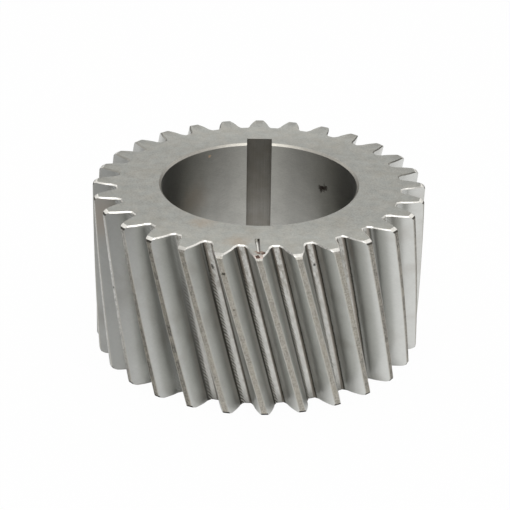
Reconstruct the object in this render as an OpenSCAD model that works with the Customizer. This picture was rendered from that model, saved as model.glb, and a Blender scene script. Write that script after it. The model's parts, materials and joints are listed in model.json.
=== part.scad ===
// Crankshaft timing gear: a wide left-hand helical gear cut from one steel ring,
// with a keyed bore and a scribed timing mark on the tooth opposite the keyway.
// The origin is on the bore axis at the lower end face, and +Z runs up the bore.

/* [Teeth] */
// Number of teeth
tooth_count = 28; // [22:1:36]
// Module, measured square to the teeth
normal_module = 3.25; // [3:0.05:4]
// Pressure angle, measured square to the teeth
pressure_angle = 20; // [17.5:0.5:22.5]
// Helix angle on the pitch circle
helix_angle = 14; // [4:0.5:24]
// Height of a tooth above the pitch circle, in modules
addendum = 1.25; // [1:0.05:1.35]
// Depth of a tooth space below the pitch circle, in modules
dedendum = 1; // [0.9:0.05:1.25]
// Thickness of a tooth on the pitch circle, as a share of the pitch
tooth_share = 0.512; // [0.49:0.001:0.53]
// Height of the fillet at the foot of a tooth
fillet_rise = 1.4; // [0.8:0.05:1.8]
// Width of the fillet, from the flank to the flat of the root
fillet_run = 1.1; // [0.6:0.05:1.3]

/* [Ring] */
// Length of the teeth from end face to end face
face_width = 52.6; // [30:0.1:80]
// Diameter of the bore
bore_d = 60; // [45:0.5:66]
// Width and depth of the bevel at both mouths of the bore
bore_chamfer = 0.65; // [0.2:0.05:1.5]

/* [Keyway] */
// Width of the keyway
keyway_w = 8; // [5:0.1:14]
// Depth of the keyway, from the bore wall at its middle
keyway_depth = 3.9; // [2:0.1:5]

/* [Tooth ends] */
// Width of the bevel along the flanks and the root at both end faces
edge_chamfer = 0.35; // [0.2:0.05:0.5]
// Radial size of the wide bevel on each tooth tip
tip_bevel_r = 1.1; // [0.6:0.05:1.5]
// Axial size of the wide bevel on each tooth tip
tip_bevel_z = 0.55; // [0.55:0.05:1]
// Radial size of the steep bevel between the wide one and the tip land
tip_lead_r = 0.3; // [0.1:0.05:0.5]
// Axial size of the steep bevel
tip_lead_z = 0.6; // [0.3:0.05:1.2]

/* [Timing mark] */
// Length of the scribed groove
mark_length = 8.4; // [5:0.1:11]
// Width of the groove at the face, where it is deepest
mark_width = 1.5; // [0.8:0.1:2.2]
// Width of the groove's floor
mark_floor = 0.5; // [0.2:0.1:0.8]
// Depth of the groove at its inner end
mark_depth = 0.6; // [0.3:0.05:1]
// Depth of the groove at its outer end
mark_end_depth = 0.3; // [0.1:0.05:0.3]
// Distance from the outer end of the groove to the tooth tip
mark_end_gap = 3.5; // [2.5:0.1:5]
// Sideways distance of the groove from the middle of its tooth
mark_offset = 0.1; // [-1:0.1:1]
// Lean of the groove from the radial line
mark_lean = 3.7; // [-5:0.1:5]

/* [Hidden] */
$fn = 180;

// How finely the teeth are drawn
flank_steps = 4;
fillet_steps = 3;
helix_steps = 5;
// Shape of the fillet: 0 bends it deep into the corner, and 1 makes it a straight slope
fillet_lean = 0.75;
// How far a cutting shape runs past what it cuts
overcut = 1;

// Sizes of the toothing, seen square to the bore
deg = 180 / PI;
pitch_r = tooth_count * normal_module / (2 * cos(helix_angle));
face_angle = atan(tan(pressure_angle) / cos(helix_angle));
base_r = pitch_r * cos(face_angle);
tip_r = pitch_r + addendum * normal_module;
root_r = pitch_r - dedendum * normal_module;
shoulder_r = tip_r - tip_lead_r;
rim_r = shoulder_r - tip_bevel_r;
land_z = tip_bevel_z + tip_lead_z;
tooth_angle = 360 / tooth_count;
twist_angle = deg * face_width * tan(helix_angle) / pitch_r;
bore_r = bore_d / 2;
// The first tooth points at -Y on the upper face, and the keyway lies opposite
mark_angle = -90;
keyway_angle = mark_angle + 180;

// Angle between the foot of an involute and its point at a roll angle
function involute(a) = deg * tan(a) - a;

// Half the angle that a tooth fills at radius r, with its flanks set in by a distance
function half_tooth(r, inset) =
    tooth_share * tooth_angle / 2 + involute(face_angle)
    - involute(acos(min(1, base_r / r))) - deg * inset / base_r;

// One side of a tooth from the root to the tip, as [angle from its middle, radius]
function tooth_side(inset, end_r) =
    let (foot_r = root_r - inset,
         flank_r = max(base_r - inset, foot_r + fillet_rise),
         rise = flank_r - foot_r)
    concat(
        [for (i = [0 : fillet_steps - 1])
            let (up = i / fillet_steps, back = 1 - up,
                 run = fillet_run * back * (2 * up * fillet_lean + back))
            [half_tooth(flank_r, inset) + deg * run / foot_r, foot_r + rise * up * up]],
        [for (i = [0 : flank_steps])
            let (r = flank_r + (end_r - flank_r) * i / flank_steps)
            [half_tooth(r, inset), r]]);

// A whole tooth, from one root to the next
function tooth_outline(inset, end_r) =
    let (side = tooth_side(inset, end_r), last = len(side) - 1)
    concat([for (p = side) [-p[0], p[1]]], [for (i = [last : -1 : 0]) side[i]]);

// The closed ring of all the teeth at height z; they lean left-handed about the axis
function tooth_ring(z, inset, end_r) =
    let (outline = tooth_outline(inset, end_r),
         turn = mark_angle + twist_angle * (1 - z / face_width))
    [for (k = [0 : tooth_count - 1], p = outline)
        let (a = turn + k * tooth_angle + p[0])
        [p[1] * cos(a), p[1] * sin(a), z]];

// Heights of the rings, with how far the outline is set in and where the tips end
function stations() =
    let (chamfer_r = shoulder_r - tip_bevel_r * (1 - edge_chamfer / tip_bevel_z),
         end = [[0, edge_chamfer, rim_r], [edge_chamfer, 0, chamfer_r],
                [tip_bevel_z, 0, shoulder_r], [land_z, 0, tip_r]],
         step = (face_width - 2 * land_z) / helix_steps)
    concat(
        end,
        [for (i = [1 : helix_steps - 1]) [land_z + i * step, 0, tip_r]],
        [for (i = [len(end) - 1 : -1 : 0]) [face_width - end[i][0], end[i][1], end[i][2]]]);

// The toothed bar: every ring joined to the next, closed by a fan at both ends
module toothed_bar() {
    rows = stations();
    rings = [for (s = rows) each tooth_ring(s[0], s[1], s[2])];
    n = len(tooth_outline(0, tip_r)) * tooth_count;
    m = len(rows);
    low = m * n;
    high = low + 1;
    sides = [for (j = [0 : m - 2], i = [0 : n - 1])
        let (a = j * n + i, b = j * n + (i + 1) % n, c = b + n, d = a + n)
        each [[a, d, c], [a, c, b]]];
    ends = [for (i = [0 : n - 1])
        let (k = (i + 1) % n)
        each [[low, i, k], [high, (m - 1) * n + k, (m - 1) * n + i]]];
    polyhedron(concat(rings, [[0, 0, 0], [0, 0, face_width]]), concat(sides, ends));
}

// What the lathe takes out: the bore with a bevel at both mouths
module bore() {
    mouth_r = bore_r + bore_chamfer + overcut;
    reach = bore_chamfer + overcut;
    translate([0, 0, -overcut])
        cylinder(r = bore_r, h = face_width + 2 * overcut);
    translate([0, 0, -overcut])
        cylinder(r1 = mouth_r, r2 = mouth_r - reach, h = reach);
    translate([0, 0, face_width - bore_chamfer])
        cylinder(r1 = mouth_r - reach, r2 = mouth_r, h = reach);
}

// The slot for the key, cut through the whole length of the bore
module keyway() {
    rotate([0, 0, keyway_angle])
        translate([0, -keyway_w / 2, -overcut])
            cube([bore_r + keyway_depth, keyway_w, face_width + 2 * overcut]);
}

// The scribed groove, with sloping walls and a floor that rises towards the tooth tip
module timing_mark() {
    rise = asin((mark_depth - mark_end_depth) / mark_length);
    slope = (mark_width - mark_floor) / 2 / mark_depth;
    top = mark_depth + overcut;
    top_w = mark_floor / 2 + slope * top;
    translate([mark_offset, -(tip_r - mark_end_gap), face_width])
        rotate([0, 0, mark_lean])
            translate([0, mark_length, -mark_depth])
                rotate([90 - rise, 0, 0])
                    linear_extrude(height = mark_length)
                        polygon([[-mark_floor / 2, 0], [mark_floor / 2, 0],
                                 [top_w, top], [-top_w, top]]);
}

module crankshaft_gear() {
    color([0.66, 0.66, 0.63])
        difference() {
            toothed_bar();
            bore();
            keyway();
            timing_mark();
        }
}

crankshaft_gear();
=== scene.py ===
"""Crankshaft gear: a wide left-hand helical gear of ground steel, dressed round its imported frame.

The frame gives the place and the size. One fine closed mesh stands for the gear, with its involute
flanks, filleted roots, bevelled tooth ends, keyed bore, scribed timing mark and small knocks. Each
machined surface has a finish of its own. Lengths are in millimetres until a mesh is made.
"""

from __future__ import annotations

import json
import logging
import math
from dataclasses import dataclass, replace
from enum import Enum
from functools import reduce

import bpy
import numpy as np
from mathutils import Matrix, Vector


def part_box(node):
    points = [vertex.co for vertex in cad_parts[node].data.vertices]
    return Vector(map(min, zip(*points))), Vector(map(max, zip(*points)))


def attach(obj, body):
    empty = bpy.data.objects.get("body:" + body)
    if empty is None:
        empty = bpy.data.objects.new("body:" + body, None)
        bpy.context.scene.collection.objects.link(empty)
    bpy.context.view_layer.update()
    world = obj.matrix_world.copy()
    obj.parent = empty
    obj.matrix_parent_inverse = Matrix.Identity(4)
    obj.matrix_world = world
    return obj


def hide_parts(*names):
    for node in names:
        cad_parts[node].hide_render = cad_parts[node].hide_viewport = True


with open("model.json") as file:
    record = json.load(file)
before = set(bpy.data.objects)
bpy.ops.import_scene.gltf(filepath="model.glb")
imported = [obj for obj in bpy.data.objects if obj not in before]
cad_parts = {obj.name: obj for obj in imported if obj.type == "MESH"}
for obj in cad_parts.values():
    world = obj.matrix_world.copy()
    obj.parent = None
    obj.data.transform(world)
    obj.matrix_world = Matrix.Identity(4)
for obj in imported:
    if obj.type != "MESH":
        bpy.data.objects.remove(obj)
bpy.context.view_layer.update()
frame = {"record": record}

LOG = logging.getLogger("crankshaft_gear")
NODE = "crankshaft_gear"
BODY = "root"
MM = 0.001
ORIGIN = (0.0, 0.0, 0.0)
BLACK = (0.0, 0.0, 0.0)
WHITE = (1.0, 1.0, 1.0)
Colour = tuple[float, float, float]
Socket = bpy.types.NodeSocket


class Zone(Enum):
    """The machined surfaces of the gear; the value is the finish's place in the material list."""

    FLANK = 0
    FILLET = 1
    ROOT_LAND = 2
    TIP_LAND = 3
    TIP_EDGE = 4
    EDGE_BEVEL = 5
    TIP_BEVEL = 6
    TIP_LEAD = 7
    END_FACE = 8
    BORE = 9
    BORE_BEVEL = 10
    KEYWAY = 11
    TIMING_MARK = 12
    KNOCK = 13


class Kind(Enum):
    """The kinds of socket that a node group has."""

    VALUE = "NodeSocketFloat"
    VECTOR = "NodeSocketVector"
    COLOUR = "NodeSocketColor"


# Sizes


@dataclass(frozen=True)
class Toothing:
    """Sizes of the helical teeth, in millimetres and degrees."""

    count: int = 28
    module: float = 3.25
    pressure_angle: float = 20.0
    helix_angle: float = 14.0
    addendum: float = 1.25
    dedendum: float = 1.0
    tooth_share: float = 0.512
    fillet_rise: float = 1.4
    fillet_run: float = 1.1
    fillet_lean: float = 0.75
    tip_break: float = 0.15

    @property
    def pitch(self) -> float:
        """Angle from one tooth to the next, in radians."""
        return math.tau / self.count

    @property
    def pitch_r(self) -> float:
        """Radius of the pitch circle."""
        return self.count * self.module / (2 * math.cos(math.radians(self.helix_angle)))

    @property
    def face_angle(self) -> float:
        """Pressure angle in the plane of rotation, in radians."""
        helix = math.radians(self.helix_angle)
        return math.atan(math.tan(math.radians(self.pressure_angle)) / math.cos(helix))

    @property
    def base_r(self) -> float:
        """Radius of the circle that the involutes unwind from."""
        return self.pitch_r * math.cos(self.face_angle)

    @property
    def tip_r(self) -> float:
        """Radius of the tooth tips."""
        return self.pitch_r + self.addendum * self.module

    @property
    def root_r(self) -> float:
        """Radius of the root lands."""
        return self.pitch_r - self.dedendum * self.module

    def twist(self, width: float) -> float:
        """The angle that a tooth turns through over a face width, in radians."""
        return width * math.tan(math.radians(self.helix_angle)) / self.pitch_r

    def half_tooth(self, radius: np.ndarray | float, inset: float) -> np.ndarray | float:
        """Half the angle that a tooth fills.

        Args:
            radius: where on the tooth.
            inset: how far both flanks are set in.

        Returns:
            The angle in radians.
        """
        roll = np.arccos(np.minimum(1.0, self.base_r / np.asarray(radius, float)))
        here = np.tan(roll) - roll
        at_pitch = math.tan(self.face_angle) - self.face_angle
        return self.tooth_share * self.pitch / 2 + at_pitch - here - inset / self.base_r


@dataclass(frozen=True)
class Ends:
    """Sizes of the bevels at both ends of the teeth, in millimetres."""

    edge_chamfer: float = 0.35
    tip_bevel_r: float = 1.1
    tip_bevel_z: float = 0.55
    tip_lead_r: float = 0.3
    tip_lead_z: float = 0.6


@dataclass(frozen=True)
class Bore:
    """Sizes of the bore and its keyway, in millimetres."""

    radius: float
    chamfer: float = 0.65
    keyway_w: float = 8.0
    keyway_depth: float = 3.9


@dataclass(frozen=True)
class Mark:
    """The scribed timing groove on the upper face of the front tooth, in millimetres and degrees."""

    length: float = 8.4
    width: float = 1.5
    floor: float = 0.5
    depth: float = 0.6
    end_depth: float = 0.3
    end_gap: float = 3.5
    offset: float = 0.1
    lean: float = 3.7

    @property
    def way(self) -> Vector:
        """The way that the groove runs, from its inner end to its outer one."""
        lean = math.radians(self.lean)
        return Vector((math.sin(lean), -math.cos(lean), 0.0))

    @property
    def across(self) -> Vector:
        """The way across the groove."""
        return Vector((-self.way.y, self.way.x, 0.0))

    def outer(self, tip_r: float) -> Vector:
        """The groove's outer end, for teeth of the given tip radius."""
        return Vector((self.offset, self.end_gap - tip_r, 0.0))


@dataclass(frozen=True)
class Knock:
    """A small dent: its middle, half sizes and turn in millimetres and degrees, and its lumps."""

    place: tuple[float, float, float]
    half_size: tuple[float, float, float]
    turn: float
    seed: int
    lumps: int = 4
    lump_height: float = 0.12
    fineness: float = 2.2


# Shader graphs


@dataclass(frozen=True)
class Fade:
    """A smooth change from a first result to a last one, as a value goes from low to high."""

    low: float
    high: float
    first: float = 0.0
    last: float = 1.0

    def moved(self, by: float) -> Fade:
        """The same change at values that are higher by a distance."""
        return replace(self, low=self.low + by, high=self.high + by)

    def about(self, middle: float) -> Fade:
        """The same change with its results added to a middle."""
        return replace(self, first=self.first + middle, last=self.last + middle)


class Graph:
    """Adds nodes to one node tree in few words."""

    def __init__(self, tree: bpy.types.NodeTree) -> None:
        """Keeps the tree to add to."""
        self.tree = tree

    def add(self, kind: str, settings: dict | None = None, **inputs: object) -> bpy.types.Node:
        """Adds a node.

        Args:
            kind: the node's type without its ShaderNode prefix.
            settings: properties of the node itself.
            inputs: values or sockets by input name, with _ for a space.

        Returns:
            The new node.
        """
        node = self.tree.nodes.new("ShaderNode" + kind)
        for name, value in (settings or {}).items():
            setattr(node, name, value)
        for name, value in inputs.items():
            self.feed(node.inputs[name.replace("_", " ")], value)
        return node

    def feed(self, socket: Socket, value: object) -> None:
        """Gives an input a value.

        Args:
            socket: the input.
            value: a socket to link, or the input's own value.
        """
        if isinstance(value, Socket):
            self.tree.links.new(value, socket)
        elif isinstance(value, tuple) and len(value) == 3 and socket.type == "RGBA":
            socket.default_value = (*value, 1.0)
        else:
            socket.default_value = value

    def feed_all(self, node: bpy.types.Node, **inputs: object) -> Socket:
        """Feeds a node's inputs by their numbers, as in _0, and returns its first live output.

        Args:
            node: the node.
            inputs: values or sockets by number.

        Returns:
            The output.
        """
        for number, value in inputs.items():
            self.feed(node.inputs[int(number[1:])], value)
        return next(out for out in node.outputs if out.enabled)

    def math(self, operation: str, *values: object) -> Socket:
        """Adds a Math node on up to three values.

        Args:
            operation: what the node works out.
            values: numbers or sockets.

        Returns:
            The result.
        """
        node = self.add("Math", {"operation": operation})
        for socket, value in zip(node.inputs, values):
            self.feed(socket, value)
        return node.outputs[0]

    def times(self, *values: object) -> Socket:
        """Multiplies values."""
        return reduce(lambda first, second: self.math("MULTIPLY", first, second), values)

    def most(self, *values: object) -> Socket:
        """The largest of some values."""
        return reduce(lambda first, second: self.math("MAXIMUM", first, second), values)

    def weighted(self, first: Socket, second: Socket, share: float = 0.5) -> Socket:
        """The mean of two values, with the second one's share."""
        return self.math("ADD", self.times(first, 1 - share), self.times(second, share))

    def mix(self, factor: object, first: object, second: object) -> Socket:
        """Mixes two colours."""
        node = self.add("Mix", {"data_type": "RGBA", "clamp_factor": True})
        return self.feed_all(node, _0=factor, _6=first, _7=second)

    def span(self, value: object, low: object, high: float, first: float, last: float) -> Socket:
        """Maps low to high onto first to last, smoothly and clamped."""
        return self.add("MapRange", {"interpolation_type": "SMOOTHSTEP"}, Value=value, From_Min=low,
                        From_Max=high, To_Min=first, To_Max=last).outputs[0]

    def fade(self, value: object, change: Fade) -> Socket:
        """Maps a value by a named change."""
        return self.span(value, change.low, change.high, change.first, change.last)

    def vector(self, x: object, y: object, z: object = 0.0) -> Socket:
        """Joins values into a vector."""
        return self.add("CombineXYZ", X=x, Y=y, Z=z).outputs[0]

    def noise(self, vector: object, scale: object, detail: float = 3.0, rough: float = 0.55) -> Socket:
        """Adds a noise texture, about 0.5 on average."""
        return self.add("TexNoise", Vector=vector, Scale=scale, Detail=detail, Roughness=rough).outputs[0]

    def group(self, tree: bpy.types.NodeTree, **inputs: object) -> bpy.types.bpy_prop_collection:
        """Places a node group.

        Args:
            tree: the group.
            inputs: values or sockets by input name, with _ for a space.

        Returns:
            The group's outputs.
        """
        return self.add("Group", {"node_tree": tree}, **inputs).outputs


class EffectGroup(Graph):
    """A shader node group in the making, with named inputs and outputs."""

    def __init__(self, name: str, inputs: dict[str, object], outputs: dict[str, Kind]) -> None:
        """Makes the group's tree and sockets.

        Args:
            name: the group's name.
            inputs: default value by input name; three numbers make a vector, and four a colour.
            outputs: kind of socket by output name.
        """
        super().__init__(bpy.data.node_groups.new(name, "ShaderNodeTree"))
        for key, value in inputs.items():
            kind = Kind.VALUE
            if isinstance(value, tuple):
                kind = Kind.COLOUR if len(value) == 4 else Kind.VECTOR
            socket = self.tree.interface.new_socket(key, in_out="INPUT", socket_type=kind.value)
            socket.default_value = value
        for key, kind in outputs.items():
            self.tree.interface.new_socket(key, in_out="OUTPUT", socket_type=kind.value)
        self.source = self.tree.nodes.new("NodeGroupInput").outputs
        self.sink = self.tree.nodes.new("NodeGroupOutput").inputs

    def write(self, **results: Socket) -> bpy.types.NodeTree:
        """Sends sockets to the group's outputs.

        Args:
            results: sockets by output name, with _ for a space.

        Returns:
            The group's tree.
        """
        for name, result in results.items():
            self.feed(self.sink[name.replace("_", " ")], result)
        return self.tree


class Effects:
    """The effects that several finishes share, each one node group built once."""

    def __init__(self, teeth: Toothing, width: float) -> None:
        """Builds every group.

        Args:
            teeth: sizes of the teeth, which the tooth frame follows.
            width: face width of the gear.
        """
        self.tooth_frame = self._tooth_frame(teeth, width)
        self.mottle = self._mottle()
        self.strokes = self._strokes()
        self.feed_marks = self._feed_marks()
        self.spot = self._spot()
        self.steel = self._steel()

    @staticmethod
    def _tooth_frame(teeth: Toothing, width: float) -> bpy.types.NodeTree:
        """Coordinates on the whole gear, and ones that follow a tooth along the helix.

        Args:
            teeth: sizes of the teeth.
            width: face width of the gear.

        Returns:
            The group.
        """
        tooth_step = 37.0
        values = ("X", "Y", "Height", "Radius", "Sweep", "Across", "From Root")
        g = EffectGroup("tooth_frame", {}, {"Place": Kind.VECTOR, "On Tooth": Kind.VECTOR,
                                            **dict.fromkeys(values, Kind.VALUE)})
        place = g.add("VectorMath", {"operation": "SCALE"}, Vector=g.add("TexCoord").outputs["Object"],
                      Scale=1 / MM).outputs[0]
        x, y, z = g.add("SeparateXYZ", Vector=place).outputs
        radius = g.math("SQRT", g.math("MULTIPLY_ADD", x, x, g.times(y, y)))
        bearing = g.math("ARCTAN2", y, x)
        twist = teeth.twist(width)
        turn = g.math("MULTIPLY_ADD", z, twist / width, math.pi / 2 - twist)
        steps = g.math("DIVIDE", g.math("ADD", bearing, turn), teeth.pitch)
        number = g.math("ROUND", steps)
        across = g.times(g.math("SUBTRACT", steps, number), teeth.pitch, radius)
        from_root = g.math("SUBTRACT", g.times(radius, teeth.pitch / 2), g.math("ABSOLUTE", across))
        along = g.math("DIVIDE", z, math.cos(math.radians(teeth.helix_angle)))
        tooth = g.math("FLOORED_MODULO", number, float(teeth.count))
        on_tooth = g.vector(g.math("MULTIPLY_ADD", tooth, tooth_step, along), across, radius)
        return g.write(Place=place, On_Tooth=on_tooth, X=x, Y=y, Height=z, Radius=radius,
                       Sweep=g.times(bearing, teeth.root_r), Across=across, From_Root=from_root)

    @staticmethod
    def _mottle() -> bpy.types.NodeTree:
        """Cloudy variation with a fine grain in it, about 0.5 on average.

        Returns:
            The group.
        """
        g = EffectGroup("mottle", {"Vector": ORIGIN, "Cloud Size": 8.0, "Grain Size": 0.5,
                                   "Grain Share": 0.4}, {"Value": Kind.VALUE})
        vector = g.source["Vector"]
        cloud = g.noise(vector, g.math("DIVIDE", 1.0, g.source["Cloud Size"]), detail=4.0, rough=0.6)
        grain = g.noise(vector, g.math("DIVIDE", 1.0, g.source["Grain Size"]), detail=3.0, rough=0.65)
        mixed = g.add("Mix", {"data_type": "FLOAT"})
        return g.write(Value=g.feed_all(mixed, _0=g.source["Grain Share"], _2=cloud, _3=grain))

    @staticmethod
    def _strokes() -> bpy.types.NodeTree:
        """Fine parallel tool marks: long along the first axis, narrow along the second.

        Returns:
            The group.
        """
        g = EffectGroup("tool_strokes", {"Vector": ORIGIN, "Length": 12.0, "Width": 0.15, "Lean": 0.0},
                        {"Value": Kind.VALUE})
        turned = g.add("VectorRotate", {"rotation_type": "Z_AXIS"}, Vector=g.source["Vector"],
                       Angle=g.source["Lean"]).outputs[0]
        parts = g.add("SeparateXYZ", Vector=turned).outputs
        sizes = ("Length", "Width", "Length")
        scaled = [g.math("DIVIDE", part, g.source[size]) for part, size in zip(parts, sizes)]
        return g.write(Value=g.noise(g.vector(*scaled), scale=1.0, detail=4.0, rough=0.6))

    @staticmethod
    def _feed_marks() -> bpy.types.NodeTree:
        """The slanted ridges that the hob leaves at the foot of a tooth: 1 on a ridge, 0 between two.

        Returns:
            The group.
        """
        g = EffectGroup("feed_marks", {"Vector": ORIGIN, "Pitch": 1.25, "Lean": 2.3, "Wander": 0.6},
                        {"Value": Kind.VALUE})
        parts = g.add("SeparateXYZ", Vector=g.source["Vector"]).outputs
        wander = g.times(g.noise(g.source["Vector"], scale=0.5, detail=2.0), g.source["Wander"])
        ramp = g.math("MULTIPLY_ADD", parts[1], g.source["Lean"], parts[0])
        phase = g.math("DIVIDE", g.math("ADD", ramp, wander), g.source["Pitch"])
        wave = g.math("SINE", g.times(phase, math.tau))
        return g.write(Value=g.math("MULTIPLY_ADD", wave, 0.5, 0.5))

    @staticmethod
    def _spot() -> bpy.types.NodeTree:
        """A stain with a ragged rim round one place: 1 inside, 0 outside.

        Returns:
            The group.
        """
        rag_fineness, rag_reach = 1.6, 3.0
        g = EffectGroup("ragged_spot", {"Vector": ORIGIN, "Centre": ORIGIN, "Size": 2.0, "Softness": 0.5,
                                        "Raggedness": 0.4}, {"Mask": Kind.VALUE})
        vector, size = g.source["Vector"], g.source["Size"]
        away = g.add("VectorMath", {"operation": "DISTANCE"})
        away = g.feed_all(away, _0=vector, _1=g.source["Centre"])
        rag = g.noise(vector, g.math("DIVIDE", rag_fineness, size), detail=4.0, rough=0.6)
        rag = g.times(g.math("SUBTRACT", rag, 0.5), g.source["Raggedness"], rag_reach)
        reach = g.math("ADD", g.math("DIVIDE", away, size), rag)
        inner = g.math("SUBTRACT", 1.0, g.source["Softness"])
        return g.write(Mask=g.span(reach, inner, 1.0, 1.0, 0.0))

    @staticmethod
    def _steel() -> bpy.types.NodeTree:
        """Colour of worked steel: a base, lightened and darkened by a value, with a warm tarnish.

        Returns:
            The group.
        """
        g = EffectGroup("worked_steel", {
            "Base": (0.5, 0.5, 0.48, 1.0), "Value": 0.5, "Contrast": 0.2, "Tarnish": 0.0,
            "Tarnish Colour": (0.3, 0.24, 0.19, 1.0)}, {"Colour": Kind.COLOUR})
        swing = g.times(g.math("SUBTRACT", g.source["Value"], 0.5), g.source["Contrast"])
        lit = g.add("VectorMath", {"operation": "SCALE"}, Scale=g.math("MULTIPLY_ADD", swing, 2.0, 1.0))
        lit = g.feed_all(lit, _0=g.source["Base"])
        return g.write(Colour=g.mix(g.source["Tarnish"], lit, g.source["Tarnish Colour"]))


@dataclass(frozen=True)
class Stain:
    """Spots of one colour at chosen places, given as a middle and a radius in millimetres."""

    colour: Colour
    places: tuple[tuple[Vector, float], ...]
    strength: float = 0.8
    softness: float = 0.7
    raggedness: float = 0.8


class Surface(Graph):
    """One finish's graph, with its shader, the shared effects and the place on the gear."""

    def __init__(self, material: bpy.types.Material, effects: Effects) -> None:
        """Starts the material's nodes.

        Args:
            material: the material to fill.
            effects: the shared node groups.
        """
        material.use_nodes = True
        material.node_tree.nodes.clear()
        super().__init__(material.node_tree)
        self.effects = effects
        self.shader = self.add("BsdfPrincipled")
        self.add("OutputMaterial", Surface=self.shader.outputs[0])
        self.here = self.group(effects.tooth_frame)

    @property
    def colour(self) -> Socket:
        """The socket that feeds the shader's colour now."""
        return self.shader.inputs["Base Color"].links[0].from_socket

    def mottle(self, vector: Socket, cloud: float, grain: float, share: float) -> Socket:
        """Clouds and a grain in them, with the size of each and the grain's share."""
        return self.group(self.effects.mottle, Vector=vector, Cloud_Size=cloud, Grain_Size=grain,
                          Grain_Share=share)[0]

    def strokes(self, vector: Socket, length: float, width: float, lean: float = 0.0) -> Socket:
        """Tool marks of a length and a width, leaning by an angle in radians."""
        return self.group(self.effects.strokes, Vector=vector, Length=length, Width=width, Lean=lean)[0]

    def crossed(self, vector: Socket, length: float, widths: tuple[float, float], lean: float) -> Socket:
        """Tool marks that lean one way and the other."""
        return self.weighted(self.strokes(vector, length, widths[0], lean),
                             self.strokes(vector, length, widths[1], -lean))

    def steel(self, base: object, value: Socket, contrast: float, tarnish: object = 0.0,
              over: Colour = BLACK) -> Socket:
        """The base colour varied by a value, with a share of the colour over it."""
        return self.group(self.effects.steel, Base=base, Value=value, Contrast=contrast, Tarnish=tarnish,
                          Tarnish_Colour=over)[0]

    def dress(self, colour: object, rough: object = None, height: Socket | None = None,
              depth: float = 0.0) -> None:
        """Feeds the shader.

        Args:
            colour: the surface's colour.
            rough: its roughness, where it changes.
            height: what stands proud on it, where something does.
            depth: how far that stands proud, in millimetres.
        """
        self.feed(self.shader.inputs["Base Color"], colour)
        if rough is not None:
            self.feed(self.shader.inputs["Roughness"], rough)
        if height is not None:
            bump = self.add("Bump", Height=height, Strength=1.0, Distance=depth * MM)
            self.feed(self.shader.inputs["Normal"], bump.outputs[0])

    def stain(self, kind: Stain) -> None:
        """Lays one kind of stain over the colour.

        Args:
            kind: the stain and its places.
        """
        colour = self.colour
        for centre, size in kind.places:
            spot = self.group(self.effects.spot, Vector=self.here["Place"], Centre=centre, Size=size,
                              Softness=kind.softness, Raggedness=kind.raggedness)[0]
            colour = self.mix(self.times(spot, kind.strength), colour, kind.colour)
        self.dress(colour)


# Finishes


@dataclass(frozen=True)
class Finish:
    """What all the finishes share; each kind of surface adds its own layers in paint.

    A fade by x, y or height runs along that axis, in millimetres.
    """

    name: str
    base: Colour
    rough: float
    metallic: float = 1.0
    stains: tuple[Stain, ...] = ()

    def material(self, effects: Effects) -> bpy.types.Material:
        """Builds the material.

        Args:
            effects: the shared node groups.

        Returns:
            The new material.
        """
        made = bpy.data.materials.new(self.name)
        s = Surface(made, effects)
        s.shader.inputs["Metallic"].default_value = self.metallic
        s.shader.inputs["Roughness"].default_value = self.rough
        self.paint(s)
        for stain in self.stains:
            s.stain(stain)
        return made

    def paint(self, s: Surface) -> None:
        """Feeds the shader of a surface; each finish has its own way."""
        s.dress(self.base)


@dataclass(frozen=True, kw_only=True)
class GroundFlank(Finish):
    """Tooth flanks ground by generating strokes: satin, faintly hazy, and darker towards the root and at the
    left by painted shade.
    """

    root_r: float
    stroke_lean: float = 0.9
    haze: Colour = (0.34, 0.31, 0.275)
    haze_share: Fade = Fade(0.5, 0.75, 0.0, 0.3)
    shine: Fade = Fade(0.3, 0.7, 0.03, -0.03)
    near_side: Fade = Fade(-0.5, 0.5)
    painted_shade_up_tooth: Fade = Fade(0.3, 6.0, 1.0, 0.0)
    painted_shade_by_x: Fade = Fade(-30.0, -12.0, 0.34, 0.14)
    painted_shade_outer: Fade = Fade(-46.0, -32.0, 0.27, 0.0)
    foot_shade_up_tooth: Fade = Fade(1.5, 1.9, 0.65, 0.0)
    foot_shade_by_x: Fade = Fade(-30.0, -6.0, 0.2, 1.0)
    lower_end: Fade = Fade(1.0, 9.0)

    def up_tooth(self, s: Surface, radius: Socket, change: Fade) -> Socket:
        """A change by the height above the root, at a radius."""
        return s.fade(radius, change.moved(self.root_r))

    def flank(self, s: Surface) -> tuple[Socket, Socket, Socket]:
        """Makes the flank's own look.

        Args:
            s: the surface.

        Returns:
            The colour, the value that varies it, and the height of the grinding strokes.
        """
        on_tooth, radius, x = s.here["On Tooth"], s.here["Radius"], s.here["X"]
        flat = s.add("SeparateXYZ", Vector=on_tooth).outputs
        lines = s.crossed(s.vector(flat[0], flat[2]), length=3.2, widths=(0.3, 0.35), lean=self.stroke_lean)
        value = s.weighted(lines, s.mottle(on_tooth, cloud=9.0, grain=0.8, share=0.5))
        # Painted shade: darker towards the root and more so at the left, with a dark band at the near foot
        # that is partly painted shade and partly dark scale; it fades out towards the lower face, and more
        # painted shade darkens the far left.
        shade = s.times(self.up_tooth(s, radius, self.painted_shade_up_tooth), s.fade(x, self.painted_shade_by_x))
        near = s.fade(s.here["Across"], self.near_side)
        foot = s.times(self.up_tooth(s, radius, self.foot_shade_up_tooth), near, s.fade(x, self.foot_shade_by_x))
        shade = s.times(s.most(shade, foot), s.fade(s.here["Height"], self.lower_end))
        shade = s.most(shade, s.fade(x, self.painted_shade_outer))
        haze = s.fade(s.noise(on_tooth, scale=0.09, detail=2.0), self.haze_share)
        colour = s.steel(self.base, value, contrast=0.24, tarnish=haze, over=self.haze)
        return s.mix(shade, colour, BLACK), value, lines

    def paint(self, s: Surface) -> None:
        """Lays the flank's look and its fine strokes."""
        colour, value, lines = self.flank(s)
        s.dress(colour, s.fade(value, self.shine.about(self.rough)), lines, depth=0.0003)


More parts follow.
